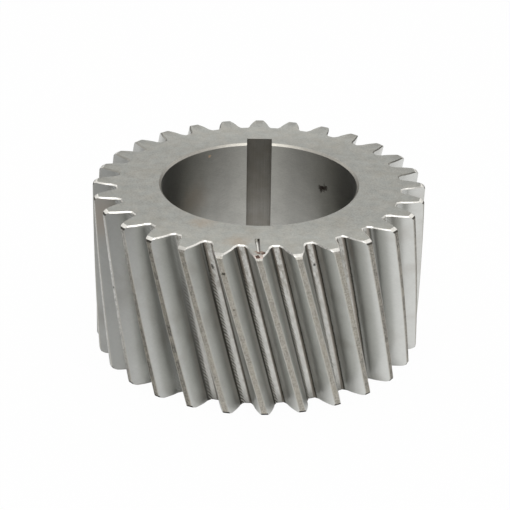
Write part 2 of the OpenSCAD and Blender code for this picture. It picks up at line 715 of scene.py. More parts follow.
@dataclass(frozen=True, kw_only=True)
class ScaledFillet(GroundFlank):
    """The fillets: flank above, and dark scale crossed by feed marks where the wheel doesn't reach, with
    painted shade in the dark lines along the crease.
    """

    scale: Colour = (0.1, 0.095, 0.083)
    bare: Colour = (0.88, 0.87, 0.82)
    brown: Colour = (0.38, 0.345, 0.305)
    hatch_rough: float = 0.6
    raggedness: float = 0.6
    patches: Fade = Fade(0.35, 0.5, 0.7, 1.0)
    ridge_light: Fade = Fade(0.35, 0.65, 1.0, 0.08)
    ridge_by_x: Fade = Fade(-26.0, -8.0, 0.6, 1.0)
    near_by_height: Fade = Fade(34.0, 46.0, 1.0, 0.0)
    scale_by_x: Fade = Fade(-30.0, -6.0, 0.3, 1.0)
    brown_top: Fade = Fade(0.6, 0.9)
    far_top: Fade = Fade(1.0, 1.3)
    near_top: Fade = Fade(0.95, 1.25)
    left_end: Fade = Fade(-26.5, -14.0)
    right_end: Fade = Fade(31.0, 36.0, 1.0, 0.0)

    def paint(self, s: Surface) -> None:
        """Lays feed marks in scale at one side of the root, and a brown and a black line at the other; the
        black lines are partly dark scale and partly painted shade.

        Args:
            s: the surface.
        """
        on_tooth, x = s.here["On Tooth"], s.here["X"]
        colour = self.flank(s)[0]
        ridges = s.group(s.effects.feed_marks, Vector=on_tooth)[0]
        patches = s.fade(s.noise(on_tooth, scale=0.3), self.patches)
        bright = s.times(s.fade(ridges, self.ridge_light), patches, s.fade(x, self.ridge_by_x))
        grain = s.mottle(on_tooth, cloud=1.6, grain=0.35, share=0.5)
        hatch = s.steel(self.scale, grain, contrast=0.6, tarnish=bright, over=self.bare)
        ragged = s.math("MULTIPLY_ADD", grain, self.raggedness, s.here["Radius"])
        # The black lines at the foot of both flanks are partly dark scale and partly painted shade in the
        # crease.
        far = s.mix(self.up_tooth(s, ragged, self.brown_top), self.brown, self.scale)
        far = s.mix(self.up_tooth(s, ragged, self.far_top), far, colour)
        line = s.mix(s.fade(x, self.scale_by_x), colour, self.scale)
        near = s.mix(self.up_tooth(s, ragged, self.near_top), hatch, line)
        nearness = s.times(s.fade(s.here["Across"], self.near_side),
                           s.fade(s.here["Height"], self.near_by_height))
        ahead = s.times(s.fade(x, self.left_end), s.fade(x, self.right_end))
        s.dress(s.mix(ahead, colour, s.mix(nearness, far, near)),
                s.span(nearness, 0.0, 1.0, self.rough, self.hatch_rough),
                s.math("ADD", ridges, grain), depth=0.02)


@dataclass(frozen=True)
class HobbedRoot(Finish):
    """The root land between the teeth: blotchy, with the hob's feed marks stronger along one rim."""

    dark: Colour = (0.075, 0.07, 0.06)
    dull: Colour = (0.36, 0.34, 0.30)
    brown: Colour = (0.36, 0.31, 0.27)
    raggedness: float = 0.6
    dark_share: float = 0.7
    near_rim: Fade = Fade(0.6, 1.05)
    far_rim: Fade = Fade(-0.75, -0.45, 0.45, 0.0)
    ridges: Fade = Fade(0.25, 0.6)
    patches: Fade = Fade(0.35, 0.5)
    blotches: Fade = Fade(0.4, 0.66, 0.0, 0.85)
    blotches_by_height: Fade = Fade(26.0, 44.0, 0.3, 1.0)
    shine: Fade = Fade(0.35, 0.65, 0.08, -0.06)

    def paint(self, s: Surface) -> None:
        """Lays dull blotches, brown along the far rim, and feed marks along the near one.

        Args:
            s: the surface.
        """
        on_tooth = s.here["On Tooth"]
        side = s.times(s.here["From Root"], s.math("SIGN", s.here["Across"]))
        ridges = s.group(s.effects.feed_marks, Vector=on_tooth)[0]
        ragged = s.math("MULTIPLY_ADD", s.noise(on_tooth, scale=1.2, detail=2.0), self.raggedness, side)
        patches = s.fade(s.noise(on_tooth, scale=0.2, detail=2.0), self.patches)
        cut = s.times(s.fade(ridges, self.ridges), s.fade(ragged, self.near_rim), patches, self.dark_share)
        clouds = s.mottle(on_tooth, cloud=1.5, grain=0.4, share=0.45)
        blotches = s.times(s.fade(s.noise(on_tooth, scale=0.5, detail=4.0, rough=0.7), self.blotches),
                           s.fade(s.here["Height"], self.blotches_by_height))
        base = s.mix(s.fade(side, self.far_rim), s.mix(blotches, self.base, self.dull), self.brown)
        colour = s.steel(base, clouds, contrast=0.5, tarnish=cut, over=self.dark)
        s.dress(colour, s.fade(clouds, self.shine.about(self.rough)), s.math("SUBTRACT", clouds, ridges),
                depth=0.02)


@dataclass(frozen=True)
class TurnedTip(Finish):
    """The tip lands, left from the lathe and hardening: rough, grey-brown and grainy."""

    tan: Colour = (0.415, 0.385, 0.32)
    cool: Colour = (0.56, 0.56, 0.54)
    tan_share: Fade = Fade(0.4, 0.7, 0.1, 0.5)
    cool_by_x: Fade = Fade(-44.0, -34.0, 1.0, 0.0)
    right_drop: Fade = Fade(24.0, 40.0, 0.0, -0.14)
    left_drop: Fade = Fade(-26.0, -10.0, -0.18, 0.0)
    shine: Fade = Fade(0.35, 0.65, 0.1, -0.08)

    def paint(self, s: Surface) -> None:
        """Lays a coarse grain with a tan tarnish, cooler at the left and darker towards both sides.

        Args:
            s: the surface.
        """
        on_tooth, x = s.here["On Tooth"], s.here["X"]
        grain = s.mottle(on_tooth, cloud=2.0, grain=0.45, share=0.8)
        turned = s.strokes(s.vector(s.here["Across"], s.here["Height"]), length=2.5, width=0.25)
        value = s.weighted(grain, turned, share=0.25)
        cool = s.fade(x, self.cool_by_x)
        rest = s.math("SUBTRACT", 1.0, cool)
        drop = s.math("ADD", s.fade(x, self.right_drop), s.times(rest, s.fade(x, self.left_drop)))
        warm = s.times(s.fade(s.noise(on_tooth, scale=0.25), self.tan_share), rest)
        colour = s.steel(s.mix(cool, self.base, self.cool), s.math("ADD", value, drop), contrast=1.6,
                         tarnish=warm, over=self.tan)
        s.dress(colour, s.fade(value, self.shine.about(self.rough)), value, depth=0.03)


@dataclass(frozen=True)
class SteepBevel(TurnedTip):
    """The steep bevel above and below a tip land: brown residue at the sides, and painted shade underneath.
    """

    residue: Colour = (0.05, 0.042, 0.032)
    under_shade: Colour = (0.014, 0.012, 0.009)
    residue_by_x: Fade = Fade(14.0, 32.0, 0.0, 0.85)
    shade_below: Fade = Fade(2.0, 3.0, 1.0, 0.0)

    def paint(self, s: Surface) -> None:
        """Lays residue, and painted shade underneath, over the tip land's look.

        Args:
            s: the surface.
        """
        super().paint(s)
        beside = s.fade(s.math("ABSOLUTE", s.here["X"]), self.residue_by_x)
        worked = s.mix(beside, s.colour, self.residue)
        # Painted shade: the lowest bevel turns near black, standing in for the shadowed floor that it faces.
        s.dress(s.mix(s.fade(s.here["Height"], self.shade_below), worked, self.under_shade))


@dataclass(frozen=True)
class CutBevel(Finish):
    """Bevels cut last and left bright, with the cutter's scratches across them."""

    scratch: Colour = (0.45, 0.44, 0.40)
    scratches: Fade = Fade(0.5, 0.72, 0.0, 0.6)
    shade_grey: Colour = (0.27, 0.26, 0.23)
    painted_shade_share: float = 0.0
    behind: Fade = Fade(-3.0, 3.0)
    shade_below: Fade = Fade(1.0, 2.0, 1.0, 0.0)

    def paint(self, s: Surface) -> None:
        """Lays scratches, and a share of painted shade in grey behind and underneath.

        Args:
            s: the surface.
        """
        place = s.here["Place"]
        grain = s.mottle(place, cloud=1.2, grain=0.3, share=0.55)
        worn = s.fade(s.noise(place, scale=0.8, detail=4.0), self.scratches)
        colour = s.steel(self.base, grain, contrast=0.4, tarnish=worn, over=self.scratch)
        # Painted shade: bevels at the back and at the lower end turn grey.
        shaded_part = s.most(s.fade(s.here["Y"], self.behind), s.fade(s.here["Height"], self.shade_below))
        s.dress(s.mix(s.times(shaded_part, self.painted_shade_share), colour, self.shade_grey), height=grain, depth=0.02)


@dataclass(frozen=True)
class GroundFace(Finish):
    """The end faces: ground flat, satin, with faint rings, clouds and warm stains."""

    cool: Colour = (0.337, 0.34, 0.315)
    cool_share: Fade = Fade(0.35, 0.65)
    tint: Colour = (0.33, 0.295, 0.23)
    tint_share: Fade = Fade(0.5, 0.72, 0.0, 0.2)
    lift_by_y: Fade = Fade(22.0, 44.0, 0.0, 0.16)
    shine: Fade = Fade(0.35, 0.65, 0.05, -0.05)

    def paint(self, s: Surface) -> None:
        """Lays clouds and rings, a warm tint, and more light towards the front and the back.

        Args:
            s: the surface.
        """
        place = s.here["Place"]
        rings = s.strokes(s.vector(s.here["Sweep"], s.here["Radius"]), length=9.0, width=0.3)
        value = s.weighted(s.mottle(place, cloud=3.5, grain=0.5, share=0.6), rings, share=0.2)
        lift = s.fade(s.math("ABSOLUTE", s.here["Y"]), self.lift_by_y)
        tint = s.fade(s.noise(place, scale=0.09), self.tint_share)
        base = s.mix(s.fade(s.noise(place, scale=0.3), self.cool_share), self.base, self.cool)
        colour = s.steel(base, s.math("ADD", value, lift), contrast=0.6, tarnish=tint, over=self.tint)
        s.dress(colour, s.fade(value, self.shine.about(self.rough)), value, depth=0.01)


@dataclass(frozen=True)
class HonedBore(Finish):
    """The bore: honed bright, with crossed lines."""

    drawn_out: float = 0.9
    drawn_turn: float = 0.25
    painted_shade_by_x: Fade = Fade(16.0, 27.0, 0.0, 0.36)
    shine: Fade = Fade(0.35, 0.65, 0.04, -0.04)

    def paint(self, s: Surface) -> None:
        """Lays crossed lines in clouds, darkens both sides with painted shade and draws the gloss out round
        the bore.

        Args:
            s: the surface.
        """
        wall = s.vector(s.here["Sweep"], s.here["Height"])
        lines = s.crossed(wall, length=10.0, widths=(0.25, 0.25), lean=0.25)
        value = s.weighted(lines, s.mottle(s.here["Place"], cloud=4.0, grain=0.5, share=0.4))
        # Painted shade: the bore darkens towards both sides.
        beside = s.fade(s.math("ABSOLUTE", s.here["X"]), self.painted_shade_by_x)
        colour = s.mix(beside, s.steel(self.base, value, contrast=0.5), BLACK)
        s.dress(colour, s.fade(value, self.shine.about(self.rough)), lines, depth=0.005)
        s.shader.inputs["Anisotropic"].default_value = self.drawn_out
        s.shader.inputs["Anisotropic Rotation"].default_value = self.drawn_turn
        way = s.add("Tangent", {"direction_type": "RADIAL", "axis": "Z"})
        s.feed(s.shader.inputs["Tangent"], way.outputs[0])


@dataclass(frozen=True)
class BroachedSlot(Finish):
    """The keyway: broached along the bore, a little brown."""

    brown: Colour = (0.21, 0.188, 0.158)
    brown_share: Fade = Fade(0.4, 0.65, 0.0, 0.4)
    painted_shade_by_height: Fade = Fade(25.0, 48.0, 0.0, 0.16)

    def paint(self, s: Surface) -> None:
        """Lays strokes along the slot with brown clouds in them, and painted shade towards its upper end.

        Args:
            s: the surface.
        """
        place, height = s.here["Place"], s.here["Height"]
        drawn = s.strokes(s.vector(height, s.here["X"], s.here["Y"]), length=20.0, width=0.3)
        value = s.weighted(drawn, s.mottle(place, cloud=4.0, grain=0.5, share=0.4))
        warm = s.fade(s.noise(place, scale=0.12, detail=2.0), self.brown_share)
        colour = s.steel(self.base, value, contrast=0.5, tarnish=warm, over=self.brown)
        # Painted shade: the slot darkens towards its upper end.
        s.dress(s.mix(s.fade(height, self.painted_shade_by_height), colour, BLACK), height=drawn, depth=0.008)


@dataclass(frozen=True, kw_only=True)
class ScribedGroove(Finish):
    """The timing mark: torn bright metal on one side, painted shade along the other."""

    mark: Mark
    tip_r: float
    side_shade_colour: Colour = (0.10, 0.09, 0.08)
    side_shade_share: Fade = Fade(-0.1, 0.3, 0.05, 0.9)

    def paint(self, s: Surface) -> None:
        """Lays painted shade by the distance across the groove.

        Args:
            s: the surface.
        """
        place, across = s.here["Place"], self.mark.across
        side = s.feed_all(s.add("VectorMath", {"operation": "DOT_PRODUCT"}), _0=place, _1=across)
        side_shade = s.fade(side, self.side_shade_share.moved(across.dot(self.mark.outer(self.tip_r))))
        grain = s.mottle(place, cloud=1.2, grain=0.3, share=0.5)
        colour = s.steel(self.base, grain, contrast=0.6, tarnish=side_shade, over=self.side_shade_colour)
        s.dress(colour, height=grain, depth=0.02)


@dataclass(frozen=True)
class RustyKnock(Finish):
    """The small dents at the tooth tips, with a dull rust in them."""

    light: Colour = (0.42, 0.33, 0.28)
    light_share: Fade = Fade(0.5, 0.7, 0.0, 0.6)

    def paint(self, s: Surface) -> None:
        """Lays a grain of dark and light rust.

        Args:
            s: the surface.
        """
        grain = s.mottle(s.here["Place"], cloud=0.8, grain=0.25, share=0.5)
        pale = s.fade(grain, self.light_share)
        colour = s.steel(self.base, grain, contrast=0.8, tarnish=pale, over=self.light)
        s.dress(colour, height=grain, depth=0.03)


# The gear


def put(name: str, data: bpy.types.ID) -> bpy.types.Object:
    """Puts a new object into the scene.

    Args:
        name: the object's name.
        data: its mesh, camera or lamp.

    Returns:
        The new object.
    """
    made = bpy.data.objects.new(name, data)
    bpy.context.scene.collection.objects.link(made)
    return made


def line_slots(piece: bpy.types.Object) -> None:
    """Gives a piece one empty material slot for each zone, so that indexes agree."""
    for _ in Zone:
        piece.data.materials.append(None)


def solid(name: str, points: np.ndarray, faces: list[list[int]], zones: list[Zone],
          smooth: bool) -> bpy.types.Object:
    """Makes a closed mesh with a zone for each face.

    Args:
        name: the object's name.
        points: its points, in millimetres.
        faces: the points of each face.
        zones: the zone of each face.
        smooth: whether the faces are shaded smooth.

    Returns:
        The new object.
    """
    mesh = bpy.data.meshes.new(name)
    mesh.from_pydata((points * MM).tolist(), [], faces)
    mesh.polygons.foreach_set("material_index", [zone.value for zone in zones])
    mesh.polygons.foreach_set("use_smooth", [smooth] * len(zones))
    made = put(name, mesh)
    line_slots(made)
    return made


class Skin:
    """Rings of points and the bands of faces between them."""

    def __init__(self, count: int) -> None:
        """Starts empty.

        Args:
            count: how many points each ring has.
        """
        self.count = count
        self.points = np.empty((0, 3))
        self.faces: list[np.ndarray] = []
        self.zones: list[Zone] = []

    def ring(self, points: np.ndarray) -> np.ndarray:
        """Keeps a ring of points and returns their numbers."""
        self.points = np.concatenate([self.points, points])
        return np.arange(len(self.points) - self.count, len(self.points))

    def band(self, low: np.ndarray, high: np.ndarray, zones: list[Zone], inward: bool = False) -> None:
        """Joins two rings with faces.

        Args:
            low: the point numbers of the first ring.
            high: those of the second.
            zones: the zone of each face.
            inward: whether the faces look the other way.
        """
        quads = [low, np.roll(low, -1), np.roll(high, -1), high]
        self.faces.append(np.stack(quads[::-1] if inward else quads, 1))
        self.zones += zones


@dataclass
class GearRing:
    """The gear itself: its sizes, its mesh and its finishes."""

    width: float
    bore: Bore
    teeth: Toothing = Toothing()
    ends: Ends = Ends()
    mark: Mark = Mark()
    root_steps: int = 2
    fillet_steps: int = 6
    flank_steps: int = 14
    land_steps: int = 2
    helix_steps: int = 26
    bore_steps: int = 6
    slot_wall_steps: int = 8
    slot_floor_steps: int = 44
    face_turns: tuple[float, float, float] = (0.15, 0.5, 0.8)
    root_margin: float = 1.4
    slot_margin: float = 1.0
    overcut: float = 0.5
    sharp_angle: float = 28.0

    # Outline of a tooth

    def tooth_side(self, inset: float, end_r: float) -> tuple[np.ndarray, np.ndarray]:
        """One side of a tooth, from the middle of the root to the middle of the tip.

        Args:
            inset: how far the outline is set in.
            end_r: radius of the tip.

        Returns:
            Angles from the tooth's middle, and radii.
        """
        t = self.teeth
        foot_r = t.root_r - inset
        flank_foot_r = foot_r + t.fillet_rise
        flank_half = t.half_tooth(flank_foot_r, inset)
        root_a = np.linspace(t.pitch / 2, flank_half + t.fillet_run / foot_r, self.root_steps + 1)[:-1]
        fall = np.linspace(1, 0, self.fillet_steps + 1)
        out = 2 * fall * (1 - fall) * t.fillet_lean + fall**2
        fillet_a = flank_half + t.fillet_run * out / foot_r
        fillet_r = foot_r + t.fillet_rise * (1 - fall)**2
        flank_r = np.linspace(flank_foot_r, end_r - t.tip_break, self.flank_steps + 1)[1:]
        flank_a = t.half_tooth(flank_r, inset)
        edge_a = t.half_tooth(end_r, inset) - t.tip_break / end_r
        land_a = np.linspace(edge_a, 0, self.land_steps + 1)
        angles = np.concatenate([root_a, fillet_a, flank_a, land_a])
        root_r, land_r = np.full(len(root_a), foot_r), np.full(len(land_a), end_r)
        return angles, np.concatenate([root_r, fillet_r, flank_r, land_r])

    def ring_zones(self) -> list[Zone]:
        """Works out the zones round the toothing.

        Returns:
            The zone of each face, in the order of ring.
        """
        side = ([Zone.ROOT_LAND] * self.root_steps + [Zone.FILLET] * self.fillet_steps
                + [Zone.FLANK] * self.flank_steps + [Zone.TIP_EDGE] + [Zone.TIP_LAND] * self.land_steps)
        return (side + side[::-1]) * self.teeth.count

    def ring(self, z: float, inset: float, end_r: float) -> np.ndarray:
        """All the teeth's outline at one height.

        Args:
            z: height above the lower face.
            inset: how far the outline is set in.
            end_r: radius of the tips.

        Returns:
            Points, counter-clockwise from the root left of the first tooth.
        """
        t = self.teeth
        side_a, side_r = self.tooth_side(inset, end_r)
        a = np.concatenate([-side_a, side_a[::-1][1:-1]])
        r = np.concatenate([side_r, side_r[::-1][1:-1]])
        turn = -math.pi / 2 + t.twist(self.width) * (1 - z / self.width)
        angles = (turn + np.arange(t.count)[:, None] * t.pitch + a[None, :]).ravel()
        return self.round_points(np.tile(r, t.count), angles, z)

    @staticmethod
    def round_points(radius: np.ndarray | float, angles: np.ndarray, z: np.ndarray | float) -> np.ndarray:
        """Points from their radii, angles and heights."""
        heights = np.broadcast_to(z, angles.shape)
        return np.stack([radius * np.cos(angles), radius * np.sin(angles), heights], 1)

    def stations(self) -> list[tuple[float, float, float]]:
        """Works out where the rings of the toothing lie.

        Returns:
            The height, inset and tip radius of each, from the lower face up.
        """
        e, t = self.ends, self.teeth
        shoulder = t.tip_r - e.tip_lead_r
        chamfer_r = shoulder - e.tip_bevel_r * (1 - e.edge_chamfer / e.tip_bevel_z)
        land_z = e.tip_bevel_z + e.tip_lead_z
        end = [(0.0, e.edge_chamfer, shoulder - e.tip_bevel_r), (e.edge_chamfer, 0.0, chamfer_r),
               (e.tip_bevel_z, 0.0, shoulder), (land_z, 0.0, t.tip_r)]
        heights = np.linspace(land_z, self.width - land_z, self.helix_steps + 1)[1:-1]
        body = [(z, 0.0, t.tip_r) for z in heights]
        return end + body + [(self.width - z, inset, r) for z, inset, r in reversed(end)]

    @staticmethod
    def step_zone(step: int, steps: int, zone: Zone) -> Zone:
        """The zone of a face of the toothing.

        Args:
            step: its step along the gear.
            steps: how many steps there are.
            zone: its zone along the outline.

        Returns:
            The zone, with the bevels at both ends.
        """
        from_end = min(step, steps - 1 - step)
        if zone not in (Zone.TIP_LAND, Zone.TIP_EDGE):
            return Zone.EDGE_BEVEL if from_end == 0 else zone
        return {0: Zone.TIP_BEVEL, 1: Zone.TIP_BEVEL, 2: Zone.TIP_LEAD}.get(from_end, zone)

    # Bore and end faces

    def bore_ring(self, z: float, radius: float, count: int) -> np.ndarray:
        """The outline of the bore and keyway at one height.

        Args:
            z: height above the lower face.
            radius: radius of the bore there.
            count: how many points the ring has.

        Returns:
            Points, counter-clockwise from the slot's middle.
        """
        half = self.bore.keyway_w / 2
        back = self.bore.radius + self.bore.keyway_depth
        mouth = math.sqrt(radius * radius - half * half)
        floor = np.linspace(0, half, self.slot_floor_steps // 2 + 1)
        wall = np.linspace(back, mouth, self.slot_wall_steps + 1)
        corner = math.asin(half / radius)
        arc_steps = count - self.slot_floor_steps - 2 * self.slot_wall_steps
        arc = math.pi / 2 + np.linspace(corner, math.tau - corner, arc_steps + 1)
        xs = np.concatenate([-floor, np.full(len(wall) - 1, -half), radius * np.cos(arc[1:]),
                             np.full(len(wall) - 1, half), floor[::-1][1:-1]])
        ys = np.concatenate([np.full(len(floor), back), wall[1:], radius * np.sin(arc[1:]), wall[::-1][1:],
                             np.full(len(floor) - 2, back)])
        return np.stack([xs, ys, np.full_like(xs, z)], 1)

    def bore_zones(self, count: int, bevel: bool) -> list[Zone]:
        """Works out the zones round the bore and keyway.

        Args:
            count: how many faces there are.
            bevel: whether they belong to a bevel.

        Returns:
            The zone of each face, in the order of bore_ring.
        """
        slot = self.slot_floor_steps // 2 + self.slot_wall_steps
        wall = [Zone.BORE_BEVEL if bevel else Zone.BORE] * (count - 2 * slot)
        return [Zone.KEYWAY] * slot + wall + [Zone.KEYWAY] * slot

    def end_face(self, skin: Skin, outer: np.ndarray, inner: np.ndarray, upper: bool) -> None:
        """Fills an end face between the teeth and the bore.

        Args:
            skin: the mesh in the making.
            outer: the point numbers of the teeth's ring.
            inner: those of the bore's ring.
            upper: whether this is the upper face.
        """
        def bearing(numbers: np.ndarray) -> np.ndarray:
            """The angles of some points about the bore's axis."""
            return np.arctan2(skin.points[numbers, 1], skin.points[numbers, 0])

        def wrapped(angles: np.ndarray) -> np.ndarray:
            """Angles brought to within half a turn of zero."""
            return (angles + math.pi) % math.tau - math.pi

        start = bearing(outer)
        inner = np.roll(inner, int(np.argmin(np.abs(wrapped(start - math.pi / 2)))))
        change = wrapped(bearing(inner) - start)
        root = self.teeth.root_r - self.root_margin
        clear = self.bore.radius + self.bore.keyway_depth + self.slot_margin
        z = skin.points[outer, 2]
        rows = [outer, *[skin.ring(self.round_points(radius, start + change * turn, z))
                         for turn, radius in zip(self.face_turns, (root, (root + clear) / 2, clear))], inner]
        for low, high in zip(rows[:-1], rows[1:]):
            skin.band(low, high, [Zone.END_FACE] * skin.count, inward=not upper)

    # Mesh

    def blank(self) -> bpy.types.Object:
        """Builds the closed mesh of the whole gear, before the mark and the knocks are cut.

        Returns:
            The new object.
        """
        outline, c, w, bore_r = self.ring_zones(), self.bore.chamfer, self.width, self.bore.radius
        skin = Skin(len(outline))
        levels = [(0.0, bore_r + c), *[(z, bore_r) for z in np.linspace(c, w - c, self.bore_steps + 1)],
                  (w, bore_r + c)]
        rings = [skin.ring(self.ring(*station)) for station in self.stations()]
        bores = [skin.ring(self.bore_ring(z, radius, skin.count)) for z, radius in levels]
        last = len(rings) - 1
        for i in range(last):
            skin.band(rings[i], rings[i + 1], [self.step_zone(i, last, zone) for zone in outline])
        last = len(bores) - 1
        for i in range(last):
            zones = self.bore_zones(skin.count, bevel=i in (0, last - 1))
            skin.band(bores[i], bores[i + 1], zones, inward=True)
        self.end_face(skin, rings[0], bores[0], upper=False)
        self.end_face(skin, rings[-1], bores[-1], upper=True)
        return solid("gear_ring", skin.points, np.concatenate(skin.faces).tolist(), skin.zones, smooth=True)

    def mark_cutter(self) -> bpy.types.Object:
        """Builds what cuts the scribed groove: sloping walls, and a floor that rises outward.

        Returns:
            The cutter.
        """
        m = self.mark
        stop = m.outer(self.teeth.tip_r)
        start = stop - m.way * m.length
        slope = (m.width - m.floor) / 2 / m.depth
        points = []
        for end, depth in ((start, m.depth), (stop, m.end_depth)):
            top, up = m.floor / 2 + slope * (depth + self.overcut), self.overcut
            for side, z in ((-m.floor / 2, -depth), (m.floor / 2, -depth), (top, up), (-top, up)):
                points.append(end + m.across * side + Vector((0, 0, self.width + z)))
        faces = [[3, 2, 1, 0], [4, 5, 6, 7], [1, 5, 4, 0], [2, 6, 5, 1], [3, 7, 6, 2], [0, 4, 7, 3]]
        return solid("mark_cutter", np.array(points), faces, [Zone.TIMING_MARK] * len(faces), smooth=False)

    @staticmethod
    def knock_cutter(knock: Knock) -> bpy.types.Object:
        """A lumpy pebble that cuts one small dent.

        Args:
            knock: the dent.

        Returns:
            The pebble.
        """
        bpy.ops.mesh.primitive_ico_sphere_add(subdivisions=3, radius=1.0)
        pebble = bpy.context.object
        rng = np.random.default_rng(knock.seed)
        waves = rng.normal(size=(knock.lumps, 3)) * knock.fineness
        turns = rng.uniform(0, math.tau, knock.lumps)
        spin = Matrix.Rotation(math.radians(knock.turn), 3, "Z")
        for v in pebble.data.vertices:
            lump = sum(math.sin(v.co.dot(Vector(wave)) + turn) for wave, turn in zip(waves, turns))
            swell = 1 + knock.lump_height * lump
            v.co = spin @ Vector([a * b * swell for a, b in zip(v.co, knock.half_size)])
            v.co = (v.co + Vector(knock.place)) * MM
        line_slots(pebble)
        for face in pebble.data.polygons:
            face.material_index = Zone.KNOCK.value
            face.use_smooth = True
        return pebble

    @staticmethod
    def cut(piece: bpy.types.Object, cutter: bpy.types.Object) -> None:
        """Cuts one shape out of the piece and removes the cutter.

        Args:
            piece: what is cut.
            cutter: the shape to cut out.
        """
        step = piece.modifiers.new("cut", "BOOLEAN")
        step.operation = "DIFFERENCE"
        step.solver = "EXACT"
        step.object = cutter
        bpy.context.view_layer.objects.active = piece
        with bpy.context.temp_override(object=piece, active_object=piece):
            bpy.ops.object.modifier_apply(modifier=step.name)
        bpy.data.objects.remove(cutter)

    def build(self, finishes: dict[Zone, Finish], knocks: list[Knock]) -> bpy.types.Object:
        """Builds and dresses the gear.

        Args:
            finishes: the finish of each zone.
            knocks: the small dents.

        Returns:
            The finished piece.
        """
        piece = self.blank()
        self.cut(piece, self.mark_cutter())
        for knock in knocks:
            self.cut(piece, self.knock_cutter(knock))
        piece.data.set_sharp_from_angle(angle=math.radians(self.sharp_angle))
        effects = Effects(self.teeth, self.width)
        for zone, finish in finishes.items():
            piece.data.materials[zone.value] = finish.material(effects)
        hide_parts(NODE)
        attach(piece, BODY)
        return piece


# Studio


@dataclass(frozen=True)
class View:
    """The camera's place, from the middle of the upper face, in millimetres and degrees."""

    distance: float = 522.5
    elevation: float = 24.456
    azimuth: float = -0.155
    aim_right_px: float = 2.915
    aim_up_px: float = -72.919
    roll: float = 0.897
    focal_px: float = 1702.84
    frame_px: float = 510.0
    sensor_mm: float = 36.0
    clip_start_m: float = 0.01


